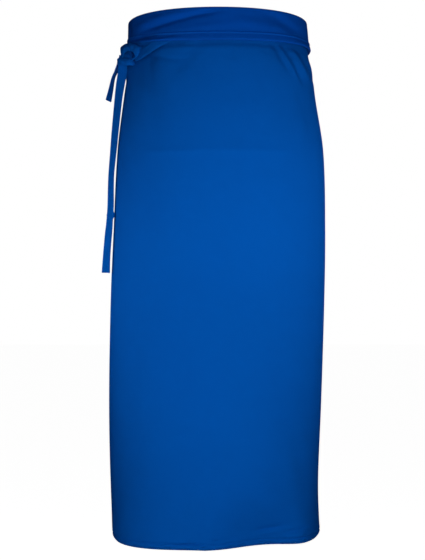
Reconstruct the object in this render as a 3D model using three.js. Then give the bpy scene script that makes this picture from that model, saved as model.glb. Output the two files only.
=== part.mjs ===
// A long waist apron, worn: one oblong of twill wrapped round the hips, its top folded down
// outside over the tie, and the two ties knotted at the wearer's right front.
// Millimetres, +Z up. The origin is the middle of the waist opening, level with the top fold.
// The front faces -Y, and the knot is on the -X side.

import * as THREE from "three";

// Cloth and sewing
const CLOTH = 0.8; // one layer of twill
const HEM_FOLD = 1.0; // the two pressed layers that a turned hem adds
const THREAD = 0.4;
const SEWN_GAP = 0.35; // between pieces that are sewn together
const FINISHED_WIDTH = 760; // along the hem, edge to edge
const WORN_LENGTH = 812; // from the top fold to the hem
const FLAP_LENGTH = 51; // the folded-down top, at the front
const FLAP_GAP = 3.4; // from the panel to the flap, middle to middle, with the tie between
const WAIST_HEM = 13;
const BOTTOM_HEM = 11;
const SIDE_HEM = 10;
const STITCH_INSET = 1.6; // a stitch row runs this far inside the edge of its hem
const HEM_MARGIN = 0.6;
const LABEL = { width: 26, length: 40, thick: 0.3, from: 500, caught: 6 }; // caught by the hem
const TACK = 10; // each bar tack is this square

// Ties
const TIE_WIDTH = 14.5;
const TIE_THICK = 1.4;
const TIE_SEWN = 12; // the end of each tie that is sewn to the waist hem
const UNDER_FLAP = 1.5; // from the panel's middle to the middle of the tie below the flap
const OVER_FLAP = 7.2; // and to the middle of the tie that runs outside the flap
const BACK_LEVEL = -44; // the middle of the near tie, round the back
const HIDDEN_LEVEL = -37; // the middle of the far tie, under the flap
const FAR_TIE_SLOPE = { drop: 18, from: 18, to: 58, end: -57 }; // angles, on the -X side
const NEAR_TIE_SLOPE = { drop: 3, from: 250, end: 278 };

// The shape that the cloth hangs in: half widths to each side and half depth, at drops below
// the top fold.
const SECTIONS = [
  { drop: 0, left: 139, right: 139, depth: 103 },
  { drop: 55, left: 140.5, right: 143.5, depth: 105 },
  { drop: 120, left: 149.5, right: 155.5, depth: 110 },
  { drop: 205, left: 159.5, right: 168.5, depth: 116 },
  { drop: 330, left: 165.5, right: 171.5, depth: 120 },
  { drop: 440, left: 170, right: 170, depth: 119 },
  { drop: 600, left: 172.5, right: 165, depth: 115 },
  { drop: 730, left: 170, right: 159, depth: 111 },
  { drop: 812, left: 164.5, right: 160, depth: 109 },
];
const SQUARENESS = 0.02; // how much fuller than an ellipse a section is between its axes
const HEM_DIP = { depth: 22, angle: 27, spread: 30, from: 720 }; // the hem falls inwards here
const FLAP_LIFT = { sides: 6, knot: 8, knotAngle: -74, knotSpread: 26 }; // the flap is shorter here

// Knot and tails
const KNOT = new THREE.Vector3(-147, -32.5, -50);
const LOOP = new THREE.Vector3(-134, -54.5, -49.5);
const KNOT_TURN = 60; // how far the knot faces round from the front, towards -X
const KNOT_CORE = { x: 7, y: 7.5, z: 8.5 };
const KNOT_WRAP = { inner: 8.6, thick: 1.6, width: 9, squeeze: 0.9, tilt: 0.35 };
const KNOT_LOOP = { inner: 8.4, thick: 1.4, width: 9, long: 1.25, high: 0.95 };
const LONG_TAIL_Y = -26;
const SHORT_TAIL_Y = -13.5;
const HINGE_GAP = 0.6; // each side of a bend in a tail
const LONG_SWING = new THREE.Vector3(-150.5, LONG_TAIL_Y, -66);
const SHORT_SWING = new THREE.Vector3(-158, SHORT_TAIL_Y, -67);
const ROOT_LENGTH = 10.5;
const LONG_BEND_Z = -308;
const TAIL_HEM = 9;

// Routes of the hanging tails, from the top: x, z and the turn of the strip about the vertical.
const LONG_TAIL_UPPER = [
  { x: -150.8, z: LONG_SWING.z - ROOT_LENGTH - HINGE_GAP, turn: 0 },
  { x: -156.3, z: -126, turn: -22 },
  { x: -162, z: -175, turn: -33 },
  { x: -165.4, z: -215, turn: -45 },
  { x: -167.8, z: -258, turn: -58 },
  { x: -168.6, z: LONG_BEND_Z + HINGE_GAP, turn: -50 },
];
const LONG_TAIL_LOWER = [
  { x: -168.6, z: LONG_BEND_Z - HINGE_GAP, turn: -50 },
  { x: -172, z: -350, turn: -36 },
  { x: -175.6, z: -397, turn: -32 },
];
const SHORT_TAIL_END = [
  { x: -159.6, z: SHORT_SWING.z - ROOT_LENGTH - HINGE_GAP, turn: 0 },
  { x: -165, z: -96, turn: 62 },
  { x: -172, z: -125, turn: 58 },
];

const BLUE = new THREE.Color("#0149a0");
const DARK_BLUE = new THREE.Color("#013a86");
const WHITE = new THREE.Color("#e8e8e4");

function smooth(from, to, value) {
  return THREE.MathUtils.smoothstep(value, from, to);
}

// The section's sizes at a drop, on a smooth curve through the stated sections.
function sectionAt(drop) {
  const last = SECTIONS.length - 2;
  const found = SECTIONS.findIndex((s, i) => i > last || drop < SECTIONS[i + 1].drop);
  const i = Math.min(found, last);
  const near = [i - 1, i, i + 1, i + 2].map((k) => SECTIONS[Math.min(Math.max(k, 0), last + 1)]);
  const span = near[2].drop - near[1].drop;
  const t = Math.min((drop - near[1].drop) / span, 1);
  const curve = (key) => {
    const slopeIn = (near[2][key] - near[0][key]) / (near[2].drop - near[0].drop);
    const slopeOut = (near[3][key] - near[1][key]) / (near[3].drop - near[1].drop);
    const ends = (1 + 2 * t) * (1 - t) ** 2 * near[1][key] + t * t * (3 - 2 * t) * near[2][key];
    return ends + span * t * (1 - t) * ((1 - t) * slopeIn - t * slopeOut);
  };
  const left = curve("left");
  const right = curve("right");
  return { half: (left + right) / 2, shift: (right - left) / 2, depth: curve("depth") };
}

function girthAt(drop) {
  const { half: a, depth: b } = sectionAt(drop);
  const ellipse = Math.PI * (3 * (a + b) - Math.sqrt((3 * a + b) * (a + 3 * b)));
  return ellipse * (1 + SQUARENESS / 2);
}

// A point on the hanging shape: angle 0 is the front, and turns towards +X.
function onForm(angle, z, offset) {
  const { half, shift, depth } = sectionAt(-z);
  const full = 1 + SQUARENESS * Math.sin(2 * angle) ** 2;
  const outward = new THREE.Vector2(Math.sin(angle) / half, -Math.cos(angle) / depth);
  outward.normalize();
  const away = (THREE.MathUtils.radToDeg(angle) - HEM_DIP.angle) / HEM_DIP.spread;
  const across = Math.abs(away) < 1 ? Math.cos((away * Math.PI) / 2) ** 2 : 0;
  const dip = HEM_DIP.depth * across * smooth(HEM_DIP.from, WORN_LENGTH, -z);
  const x = shift + half * Math.sin(angle) * full + outward.x * offset;
  const y = -depth * Math.cos(angle) * full + outward.y * offset + dip;
  return new THREE.Vector3(x, y, z);
}

// How far down the flap reaches: less at the sides, and least where the knot pulls it up.
function flapReach(angle) {
  const side = Math.sin(angle) ** 2;
  const degrees = THREE.MathUtils.radToDeg(angle);
  const fromKnot = (degrees - FLAP_LIFT.knotAngle) / FLAP_LIFT.knotSpread;
  return FLAP_LENGTH - FLAP_LIFT.sides * side - FLAP_LIFT.knot * Math.exp(-fromKnot * fromKnot);
}

// The cloth itself: across is measured from the middle of the front, along from the hem up
// over the top fold and down the flap, and inside is how far a point is from the middle of
// the cloth on its wrong side, which is the side that shows on the flap.
const FOLD_RADIUS = FLAP_GAP / 2;
const FOLD_START = WORN_LENGTH - FOLD_RADIUS - CLOTH / 2;
const FOLD_END = FOLD_START + Math.PI * FOLD_RADIUS;
const CLOTH_END = FOLD_END + FLAP_LENGTH - FOLD_RADIUS - CLOTH / 2;

function onCloth(across, along, inside) {
  const foldZ = FOLD_START - WORN_LENGTH;
  if (along <= FOLD_START) {
    const z = along - WORN_LENGTH;
    return onForm((2 * Math.PI * across) / girthAt(-z), z, -inside);
  }
  if (along < FOLD_END) {
    const bend = (along - FOLD_START) / FOLD_RADIUS;
    const radius = FOLD_RADIUS + inside;
    const z = foldZ + radius * Math.sin(bend);
    const angle = (2 * Math.PI * across) / girthAt(0);
    return onForm(angle, z, FOLD_RADIUS - radius * Math.cos(bend));
  }
  const angle = (2 * Math.PI * across) / girthAt(FLAP_LENGTH / 2);
  const down = ((along - FOLD_END) / (CLOTH_END - FOLD_END)) * (flapReach(angle) + foldZ);
  return onForm((2 * Math.PI * across) / girthAt(0), foldZ - down, FLAP_GAP + inside);
}

function steps(from, to, count) {
  return Array.from({ length: count + 1 }, (_, i) => from + ((to - from) * i) / count);
}

// Moves each corner of a flat oblong of cloth to its place: place(column, thickness, row).
function shaped(columns, rows, thickness, place) {
  const nx = columns.length - 1;
  const nz = rows.length - 1;
  const flat = new THREE.BoxGeometry(nx, thickness, nz, nx, 1, nz);
  const corners = flat.getAttribute("position");
  for (let i = 0; i < corners.count; i += 1) {
    const column = columns[Math.round(corners.getX(i) + nx / 2)];
    const row = rows[Math.round(corners.getZ(i) + nz / 2)];
    const point = place(column, corners.getY(i), row);
    corners.setXYZ(i, point.x, point.y, point.z);
  }
  flat.computeVertexNormals();
  return flat;
}

const apron = new THREE.Group();

function add(name, geometry, color = BLUE) {
  const cloth = new THREE.MeshStandardMaterial({ color, roughness: 0.9, metalness: 0 });
  const mesh = new THREE.Mesh(geometry, cloth);
  mesh.name = name;
  apron.add(mesh);
  return mesh;
}

// A strip of cloth or thread that lies on the apron's cloth.
function sewnOn(columns, rows, thickness, inside) {
  return shaped(columns, rows, thickness, (across, y, along) => onCloth(across, along, inside + y));
}

const EDGE = FINISHED_WIDTH / 2;
const HEM_INSIDE = CLOTH / 2 + SEWN_GAP + HEM_FOLD / 2;
const THREAD_OUTSIDE = -(CLOTH / 2 + 2 * SEWN_GAP + THREAD / 2);

// Everything sewn to the cloth shares its columns and rows, so that it lies flat on it. The
// rows are closer over the hips, where the cloth's outline bends most.
const HEM_TO_HEM = steps(SIDE_HEM - EDGE, EDGE - SIDE_HEM, 52);
const ACROSS = [-EDGE, ...HEM_TO_HEM, EDGE];
const SKIRT_ROWS = [
  ...steps(30, 120, 3),
  ...steps(180, 540, 6),
  ...steps(565, FOLD_START - 22, 9),
  ...steps(FOLD_START, FOLD_END, 4),
];
const FLAP_ROWS = [
  ...steps(FOLD_END, CLOTH_END - WAIST_HEM, 3).slice(1),
  CLOTH_END,
];

function clothPanel() {
  return sewnOn(ACROSS, [0, BOTTOM_HEM + HEM_MARGIN, ...SKIRT_ROWS, ...FLAP_ROWS], CLOTH, 0);
}

function waistHem() {
  const columns = [
    HEM_TO_HEM[0] + HEM_MARGIN,
    ...HEM_TO_HEM.slice(1, -1),
    HEM_TO_HEM[HEM_TO_HEM.length - 1] - HEM_MARGIN,
  ];
  return sewnOn(columns, FLAP_ROWS.slice(-2), HEM_FOLD, HEM_INSIDE);
}

function bottomHem() {
  return sewnOn(ACROSS, [0, BOTTOM_HEM], HEM_FOLD, HEM_INSIDE);
}

function sideHem(side) {
  const columns = [side * EDGE, side * (EDGE - SIDE_HEM)].sort((a, b) => a - b);
  const rows = [BOTTOM_HEM + HEM_MARGIN, ...SKIRT_ROWS, ...FLAP_ROWS];
  return sewnOn(columns, rows, HEM_FOLD, HEM_INSIDE);
}

function waistHemThread() {
  const row = CLOTH_END - WAIST_HEM + STITCH_INSET;
  const inside = HEM_INSIDE + HEM_FOLD / 2 + SEWN_GAP + THREAD / 2;
  return sewnOn(HEM_TO_HEM.slice(1, -1), [row - THREAD, row + THREAD], THREAD, inside);
}

function bottomHemThread() {
  const row = BOTTOM_HEM - STITCH_INSET;
  return sewnOn(HEM_TO_HEM, [row - THREAD, row + THREAD], THREAD, THREAD_OUTSIDE);
}

function sideThread(side) {
  const row = side * (EDGE - SIDE_HEM + STITCH_INSET);
  const belowFlap = SKIRT_ROWS.filter((along) => along < WORN_LENGTH - FLAP_LENGTH);
  const rows = [BOTTOM_HEM + HEM_MARGIN, ...belowFlap];
  return sewnOn([row - THREAD, row + THREAD], rows, THREAD, THREAD_OUTSIDE);
}

// A tie round the waist: from and to are angles, and level gives its middle at an angle.
const TIE_STEP = 4; // degrees
function tieBand(from, to, offset, level) {
  const count = Math.ceil(Math.abs(to - from) / TIE_STEP);
  const place = (angle, y, w) => onForm(angle, level(THREE.MathUtils.radToDeg(angle)) + w, offset - y);
  const angles = steps(from, to, count).map(THREE.MathUtils.degToRad);
  return shaped(angles, [-TIE_WIDTH / 2, TIE_WIDTH / 2], TIE_THICK, place);
}

// The sewn ends lie at these angles, on the last of the cloth beside the opening.
const EDGE_ANGLE = (360 * EDGE) / girthAt(0);
const SEWN_ANGLE = EDGE_ANGLE - (360 * TIE_SEWN) / girthAt(0);

// The far tie starts at the edge on the -X side of the back, runs round +X and the front
// below the flap, and slopes out from under it towards the knot.
function farTie() {
  const { drop, from, to, end } = FAR_TIE_SLOPE;
  const level = (degrees) => HIDDEN_LEVEL - drop * smooth(from, to, -degrees);
  return tieBand(end, 360 - SEWN_ANGLE, UNDER_FLAP, level);
}

// The near tie starts at the other edge, crosses the opening outside the far tie, and runs
// outside the flap round the -X side to the knot.
function nearTie() {
  const { drop, from, end } = NEAR_TIE_SLOPE;
  const level = (degrees) => BACK_LEVEL - drop * smooth(from, end, degrees);
  return tieBand(SEWN_ANGLE, end, OVER_FLAP, level);
}

function barTack(angle, level, offset) {
  const half = TACK / 2;
  const rad = THREE.MathUtils.degToRad(angle);
  const spread = half / sectionAt(0).half;
  const place = (a, y, w) => onForm(a, level + w, offset - y);
  return shaped([rad - spread, rad + spread], [-half, half], THREAD, place);
}

function knotCore() {
  return new THREE.SphereGeometry(1, 20, 14).scale(KNOT_CORE.x, KNOT_CORE.y, KNOT_CORE.z);
}

// A strip bent round into a ring about the z axis, with a rectangular section.
function ring({ inner, thick, width }) {
  const h = width / 2;
  const outer = inner + thick;
  const section = [
    new THREE.Vector2(inner, -h),
    new THREE.Vector2(outer, -h),
    new THREE.Vector2(outer, h),
    new THREE.Vector2(inner, h),
    new THREE.Vector2(inner, -h),
  ];
  return new THREE.LatheGeometry(section, 28).rotateX(Math.PI / 2);
}

function knotWrap() {
  return ring(KNOT_WRAP).scale(KNOT_WRAP.squeeze, 1, 1).rotateX(KNOT_WRAP.tilt);
}

function knotLoop() {
  return ring(KNOT_LOOP).scale(KNOT_LOOP.long, KNOT_LOOP.high, 1).rotateX(Math.PI / 2);
}

// The top of a tail, with a round end about the point that it swings on.
function tailRoot() {
  const half = TIE_WIDTH / 2;
  const outline = new THREE.Shape();
  outline.moveTo(-half, -ROOT_LENGTH + HINGE_GAP);
  outline.lineTo(half, -ROOT_LENGTH + HINGE_GAP);
  outline.lineTo(half, 0);
  outline.absarc(0, 0, half, 0, Math.PI, false);
  outline.closePath();
  const flat = { depth: TIE_THICK, bevelEnabled: false, curveSegments: 12 };
  const solid = new THREE.ExtrudeGeometry(outline, flat);
  return solid.translate(0, 0, -TIE_THICK / 2).rotateX(Math.PI / 2);
}

// A hanging strip along a route, at a distance behind the route's own plane.
function hanging(route, y, width, thickness, count, behind = 0) {
  const path = new THREE.CatmullRomCurve3(route.map((p) => new THREE.Vector3(p.x, p.turn, p.z)));
  const place = (w, n, t) => {
    const at = path.getPoint(t);
    const turn = THREE.MathUtils.degToRad(at.y);
    const x = at.x + w * Math.cos(turn) - (n + behind) * Math.sin(turn);
    return new THREE.Vector3(x, y + w * Math.sin(turn) + (n + behind) * Math.cos(turn), at.z);
  };
  return shaped([-width / 2, width / 2], steps(1, 0, count), thickness, place);
}

function tailHem(route, y) {
  const end = route[route.length - 1];
  const before = route[route.length - 2];
  const share = TAIL_HEM / (before.z - end.z);
  const start = {
    x: THREE.MathUtils.lerp(end.x, before.x, share),
    z: end.z + TAIL_HEM,
    turn: THREE.MathUtils.lerp(end.turn, before.turn, share),
  };
  const behind = TIE_THICK / 2 + SEWN_GAP + CLOTH / 2;
  return hanging([start, end], y, TIE_WIDTH - 2 * HEM_MARGIN, CLOTH, 2, behind);
}

function careLabel() {
  const edge = -EDGE + SIDE_HEM;
  const inside = HEM_INSIDE + HEM_FOLD / 2 + 3 * SEWN_GAP;
  const columns = steps(edge - LABEL.caught, edge - LABEL.caught + LABEL.width, 4);
  const rows = steps(LABEL.from, LABEL.from + LABEL.length, 4);
  return sewnOn(columns, rows, LABEL.thick, inside);
}

add("cloth_panel", clothPanel());
add("waist_hem", waistHem());
add("bottom_hem", bottomHem());
add("left_side_hem", sideHem(-1));
add("right_side_hem", sideHem(1));
add("waist_hem_thread", waistHemThread(), DARK_BLUE);
add("bottom_hem_thread", bottomHemThread(), DARK_BLUE);
add("left_side_thread", sideThread(-1), DARK_BLUE);
add("right_side_thread", sideThread(1), DARK_BLUE);
add("care_label", careLabel(), WHITE);
add("far_tie", farTie());
add("near_tie", nearTie());

const tackGap = SEWN_GAP + THREAD / 2;
const tackAngle = (EDGE_ANGLE + SEWN_ANGLE) / 2;
const farTackOffset = FLAP_GAP + HEM_INSIDE + HEM_FOLD / 2 + tackGap;
add("far_tie_bar_tack", barTack(360 - tackAngle, HIDDEN_LEVEL, farTackOffset), DARK_BLUE);
const nearTackOffset = OVER_FLAP + TIE_THICK / 2 + tackGap;
add("near_tie_bar_tack", barTack(tackAngle, BACK_LEVEL, nearTackOffset), DARK_BLUE);

const knotTurn = -THREE.MathUtils.degToRad(KNOT_TURN);
const core = add("knot_core", knotCore());
core.position.copy(KNOT);
const wrap = add("knot_wrap", knotWrap());
wrap.position.copy(KNOT);
const loop = add("knot_loop", knotLoop());
loop.position.copy(LOOP);
loop.rotation.z = knotTurn;

add("long_tail_root", tailRoot()).position.copy(LONG_SWING);
add("long_tail_upper", hanging(LONG_TAIL_UPPER, LONG_TAIL_Y, TIE_WIDTH, TIE_THICK, 16));
add("long_tail_lower", hanging(LONG_TAIL_LOWER, LONG_TAIL_Y, TIE_WIDTH, TIE_THICK, 8));
add("long_tail_end_hem", tailHem(LONG_TAIL_LOWER, LONG_TAIL_Y));
add("short_tail_root", tailRoot()).position.copy(SHORT_SWING);
add("short_tail_end", hanging(SHORT_TAIL_END, SHORT_TAIL_Y, TIE_WIDTH, TIE_THICK, 8));
add("short_tail_end_hem", tailHem(SHORT_TAIL_END, SHORT_TAIL_Y));

export default apron;
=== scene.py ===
"""A long waist apron in royal blue twill, its top folded down outside over the ties."""

import math

import bpy
import numpy as np
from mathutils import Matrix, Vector


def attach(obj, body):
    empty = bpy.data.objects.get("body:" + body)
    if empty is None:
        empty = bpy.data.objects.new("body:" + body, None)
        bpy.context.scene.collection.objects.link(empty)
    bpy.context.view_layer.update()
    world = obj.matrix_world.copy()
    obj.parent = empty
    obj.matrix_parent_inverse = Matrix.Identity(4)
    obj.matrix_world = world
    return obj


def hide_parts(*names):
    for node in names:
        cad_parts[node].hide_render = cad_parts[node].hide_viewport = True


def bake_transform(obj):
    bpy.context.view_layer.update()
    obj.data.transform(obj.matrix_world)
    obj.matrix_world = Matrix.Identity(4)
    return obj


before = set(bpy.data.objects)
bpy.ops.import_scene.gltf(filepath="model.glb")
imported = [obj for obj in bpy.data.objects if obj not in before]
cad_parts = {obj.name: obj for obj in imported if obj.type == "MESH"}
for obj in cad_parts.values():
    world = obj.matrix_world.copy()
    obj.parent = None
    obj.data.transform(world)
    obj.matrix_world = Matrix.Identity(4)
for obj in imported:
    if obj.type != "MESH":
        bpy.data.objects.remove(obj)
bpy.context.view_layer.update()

# ---------------------------------------------------------------------------------------
# Driving sizes, in metres
# ---------------------------------------------------------------------------------------

CLOTH = 0.0006
FINISHED_WIDTH = 0.760
WORN_LENGTH = 0.812
FLAP_LENGTH = 0.051
FLAP_GAP = 0.0034
WAIST_HEM = 0.0135
BOTTOM_HEM = 0.011
SIDE_HEM = 0.010
HEM_FOLD = 0.0010
STITCH_INSET = 0.0016
EDGE = FINISHED_WIDTH / 2

TIE_WIDTH = 0.0145
TIE_THICK = 0.0016
UNDER_FLAP = 0.00155
OVER_FLAP = 0.0066

# Half widths to each side and half depth of the hanging cloth, at drops below the top fold
SECTIONS = np.array([
    # drop, left, right, depth
    (0.000, 0.1390, 0.1390, 0.103),
    (0.055, 0.1405, 0.1450, 0.105),
    (0.075, 0.1433, 0.1502, 0.1065),
    (0.120, 0.1495, 0.1558, 0.110),
    (0.205, 0.1595, 0.1685, 0.116),
    (0.330, 0.1655, 0.1715, 0.120),
    (0.440, 0.1700, 0.1700, 0.119),
    (0.600, 0.1725, 0.1650, 0.115),
    (0.730, 0.1700, 0.1600, 0.111),
    (0.812, 0.1645, 0.1625, 0.109),
])
SQUARENESS = 0.02
DIP_DEPTH, DIP_ANGLE, DIP_SPREAD = 0.025, 25.0, 33.0
BULGE_DEPTH, BULGE_ANGLE, BULGE_SPREAD = 0.0135, -50.0, 42.0
HEM_SHAPE_FROM = 0.720

FOLD_RADIUS = FLAP_GAP / 2
FOLD_START = WORN_LENGTH - FOLD_RADIUS - 0.0004
FOLD_END = FOLD_START + math.pi * FOLD_RADIUS
CLOTH_END = FOLD_END + FLAP_LENGTH - FOLD_RADIUS - 0.0004
FOLD_Z = FOLD_START - WORN_LENGTH


def smooth(start, end, value):
    """0 at the start, 1 at the end, and an even slope between."""
    t = np.clip((np.asarray(value, float) - start) / (end - start), 0, 1)
    return t * t * (3 - 2 * t)


def section_at(drop):
    """Half width, shift to +X and half depth at a drop, on a smooth curve through SECTIONS."""
    drops = SECTIONS[:, 0]
    drop = np.clip(np.asarray(drop, float), 0, drops[-1])
    i = np.clip(np.searchsorted(drops, drop, side="right") - 1, 0, len(drops) - 2)
    before, after = np.maximum(i - 1, 0), np.minimum(i + 2, len(drops) - 1)
    span = drops[i + 1] - drops[i]
    t = ((drop - drops[i]) / span)[..., None]
    p, q = SECTIONS[i, 1:], SECTIONS[i + 1, 1:]
    slope_in = (q - SECTIONS[before, 1:]) / (drops[i + 1] - drops[before])[..., None]
    slope_out = (SECTIONS[after, 1:] - p) / (drops[after] - drops[i])[..., None]
    ends = (1 + 2 * t) * (1 - t) ** 2 * p + t * t * (3 - 2 * t) * q
    size = ends + span[..., None] * t * (1 - t) * ((1 - t) * slope_in - t * slope_out)
    left, right, depth = size[..., 0], size[..., 1], size[..., 2]
    return (left + right) / 2, (right - left) / 2, depth


def girth_at(drop):
    """The length once round the hanging cloth, by Ramanujan's formula for an ellipse."""
    a, _, b = section_at(drop)
    ellipse = math.pi * (3 * (a + b) - np.sqrt((3 * a + b) * (a + 3 * b)))
    return ellipse * (1 + SQUARENESS / 2)


def hump(angle, middle, spread):
    """1 at the middle angle, falling smoothly to 0 at the spread on each side; in degrees."""
    away = np.clip((np.degrees(angle) - middle) / spread, -1, 1)
    return np.cos(away * math.pi / 2) ** 2


def on_form(angle, z, offset):
    """A point on the hanging shape: angle 0 is the front and turns towards +X."""
    angle, z, offset = np.broadcast_arrays(angle, z, offset)
    half, shift, depth = section_at(-z)
    full = 1 + SQUARENESS * np.sin(2 * angle) ** 2
    out_x, out_y = np.sin(angle) / half, -np.cos(angle) / depth
    size = np.hypot(out_x, out_y)
    low = smooth(HEM_SHAPE_FROM, WORN_LENGTH, -z)
    dip = DIP_DEPTH * low * hump(angle, DIP_ANGLE, DIP_SPREAD)
    offset = offset + BULGE_DEPTH * low * hump(angle, BULGE_ANGLE, BULGE_SPREAD)
    x = shift + half * np.sin(angle) * full + out_x / size * offset
    y = -depth * np.cos(angle) * full + out_y / size * offset + dip
    return np.stack([x, y, z], -1)


# How far the flap is lifted at both sides, and by the knot at this angle and spread
SIDE_LIFT, KNOT_LIFT, KNOT_ANGLE, KNOT_SPREAD = 0.006, 0.008, -74, 26


def flap_reach(angle):
    """How far down the flap comes: less at the sides, least where the knot lifts it."""
    lifted = np.exp(-((np.degrees(angle) - KNOT_ANGLE) / KNOT_SPREAD) ** 2)
    return FLAP_LENGTH - SIDE_LIFT * np.sin(angle) ** 2 - KNOT_LIFT * lifted


# ---------------------------------------------------------------------------------------
# Relief of the cloth: creases, drags and gathers, as lines on the front
# ---------------------------------------------------------------------------------------

def fold_line(x, z, start, end, width, height):
    """A soft ridge (or valley, with a negative height) from start to end, as (x, z)."""
    ax, az = start
    dx, dz = end[0] - ax, end[1] - az
    length = math.hypot(dx, dz)
    along = ((x - ax) * dx + (z - az) * dz) / length
    beside = ((x - ax) * dz - (z - az) * dx) / length
    taper = smooth(-0.3 * length, 0.25 * length, along)
    taper = taper * (1 - smooth(0.75 * length, 1.3 * length, along))
    return height * taper * np.exp(-(beside / width) ** 2)


# start, end, width, height
PANEL_FOLDS = [
    ((0.086, -0.050), (0.106, -0.088), 0.0036, -0.0028),
    ((0.094, -0.050), (0.118, -0.094), 0.0030, 0.0024),
    ((0.102, -0.050), (0.130, -0.102), 0.0036, -0.0030),
    ((0.112, -0.050), (0.142, -0.098), 0.0032, 0.0022),
    ((0.122, -0.050), (0.150, -0.090), 0.0032, -0.0018),
    ((0.067, -0.052), (0.073, -0.067), 0.0030, -0.0012),
    ((-0.026, -0.052), (-0.060, -0.092), 0.0090, -0.0014),
    ((-0.112, -0.058), (-0.084, -0.120), 0.0090, -0.0016),
    ((-0.118, -0.064), (-0.112, -0.130), 0.0060, 0.0012),
    ((-0.1425, -0.050), (-0.1450, -0.084), 0.0050, 0.0046),
    ((-0.104, -0.066), (-0.060, -0.078), 0.0040, -0.0014),
    ((-0.112, -0.080), (-0.094, -0.150), 0.0070, -0.0018),
    ((0.030, -0.053), (0.022, -0.075), 0.0050, -0.0010),
    ((0.126, -0.120), (0.146, -0.190), 0.0080, -0.0014),
    ((-0.150, -0.560), (-0.120, -0.640), 0.0100, -0.0012),
    ((0.118, -0.640), (0.136, -0.740), 0.0100, -0.0012),
]
HEM_FOLDS = [
    ((-0.066, -0.8030), (-0.030, -0.8020), 0.0018, -0.0030),
    ((-0.012, -0.7985), (0.012, -0.7960), 0.0016, -0.0024),
    ((0.060, -0.787), (0.100, -0.782), 0.0024, -0.0036),
    ((0.056, -0.795), (0.098, -0.790), 0.0024, 0.0016),
    ((0.108, -0.792), (0.136, -0.788), 0.0024, -0.0036),
    ((0.104, -0.800), (0.138, -0.797), 0.0022, 0.0014),
    ((-0.006, -0.772), (0.030, -0.784), 0.0032, -0.0009),
    ((-0.130, -0.800), (-0.100, -0.803), 0.0020, -0.0009),
]
FLAP_FOLDS = [
    ((-0.112, -0.027), (-0.006, -0.007), 0.0042, -0.0032),
    ((-0.118, -0.017), (-0.050, -0.005), 0.0050, 0.0014),
    ((-0.080, -0.035), (0.020, -0.026), 0.0050, 0.0009),
    ((0.074, -0.005), (0.128, -0.032), 0.0085, -0.0022),
    ((0.030, -0.021), (0.108, -0.030), 0.0075, 0.0012),
    ((-0.132, -0.036), (-0.100, -0.037), 0.0040, -0.0040),
    ((-0.126, -0.046), (-0.060, -0.046), 0.0030, 0.0016),
]
BOTTOM_ROW_Z = BOTTOM_HEM - STITCH_INSET - WORN_LENGTH
# Between which places relief fades: behind the sides, and under the flap
FRONT_FADE = (0.015, -0.015)
SKIRT_FADE = (-0.046, -0.056)
TIE_FADE = (-0.030, -0.044)
# The tie draws the cloth in, all round the front and more at two places along it
CINCH_TOP, CINCH_FOOT, CINCH_DEPTH = -0.0505, -0.0610, 0.0034
CINCH_ENDS = (0.125, 0.146)
GATHERS = [
    # foot, depth, middle, width
    (-0.088, 0.0040, 0.104, 0.022),
    (-0.150, 0.0100, -0.116, 0.018),
]
# Pressed creases: a level one, and an upright one that starts low and reaches the hem
LEVEL_Z, LEVEL_WIDTH, LEVEL_HEIGHT = -0.216, 0.0065, 0.0017
LEVEL_ENDS = (0.09, 0.125)
UPRIGHT_X, UPRIGHT_WIDTH, UPRIGHT_HEIGHT = -0.020, 0.005, 0.0014
UPRIGHT_RISE = (-0.725, -0.790)
# The hem: a groove along its stitches, small pulls beside it, and an edge that rolls inwards
GROOVE_DEPTH, GROOVE_WIDTH = 0.0021, 0.0012
PULL_HEIGHT, PULL_WIDTH = 0.00022, 0.006
PULLS = [
    # share, length, start
    (1.0, 0.0031, 0),
    (0.8, 0.0052, 1.3),
    (0.7, 0.0117, 0),
]
HEM_ROLL, HEM_ROLL_Z = 0.0045, -0.8035


def bell(value, middle, width):
    """1 at the middle, dying away at about the width on each side."""
    return np.exp(-((value - middle) / width) ** 2)


def drawn_in(x, z):
    """How far the tie draws the skirt in below the flap."""
    facing = 1 - smooth(*CINCH_ENDS, np.abs(x))
    depth = CINCH_DEPTH * facing * smooth(CINCH_FOOT, CINCH_TOP, z)
    for foot, gather, middle, width in GATHERS:
        depth = depth + gather * smooth(foot, CINCH_TOP, z) * bell(x, middle, width)
    return depth * smooth(*TIE_FADE, z)


def creases(x, z):
    """How far the two pressed creases stand out."""
    level = np.exp(-np.abs(z - LEVEL_Z) / LEVEL_WIDTH) * LEVEL_HEIGHT
    upright = np.exp(-np.abs(x - UPRIGHT_X) / UPRIGHT_WIDTH) * UPRIGHT_HEIGHT
    return level * (1 - smooth(*LEVEL_ENDS, np.abs(x))) + upright * smooth(*UPRIGHT_RISE, z)


def hem_relief(x, z):
    """How far the bottom hem stands out: its stitched groove, its pulls and its roll."""
    pull = sum(share * np.sin(x / length + start) for share, length, start in PULLS)
    seam = PULL_HEIGHT * pull * bell(z, BOTTOM_ROW_Z, PULL_WIDTH)
    seam = seam - GROOVE_DEPTH * bell(z, BOTTOM_ROW_Z, GROOVE_WIDTH)
    under = np.clip((HEM_ROLL_Z - z) / (HEM_ROLL_Z + WORN_LENGTH), 0, 1)
    return seam - HEM_ROLL * under ** 2


def panel_relief(x, y, z):
    """How far the skirt stands out of its smooth shape."""
    folds = sum(fold_line(x, z, *fold) for fold in PANEL_FOLDS) * smooth(*SKIRT_FADE, z)
    folds = folds + sum(fold_line(x, z, *fold) for fold in HEM_FOLDS)
    relief = folds - drawn_in(x, z) + creases(x, z)
    return relief * smooth(*FRONT_FADE, y) + hem_relief(x, z)


def flap_relief(x, y, z):
    """How far the flap stands out of its smooth shape."""
    relief = sum(fold_line(x, z, *fold) for fold in FLAP_FOLDS)
    return relief * smooth(*FRONT_FADE, y)


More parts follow.
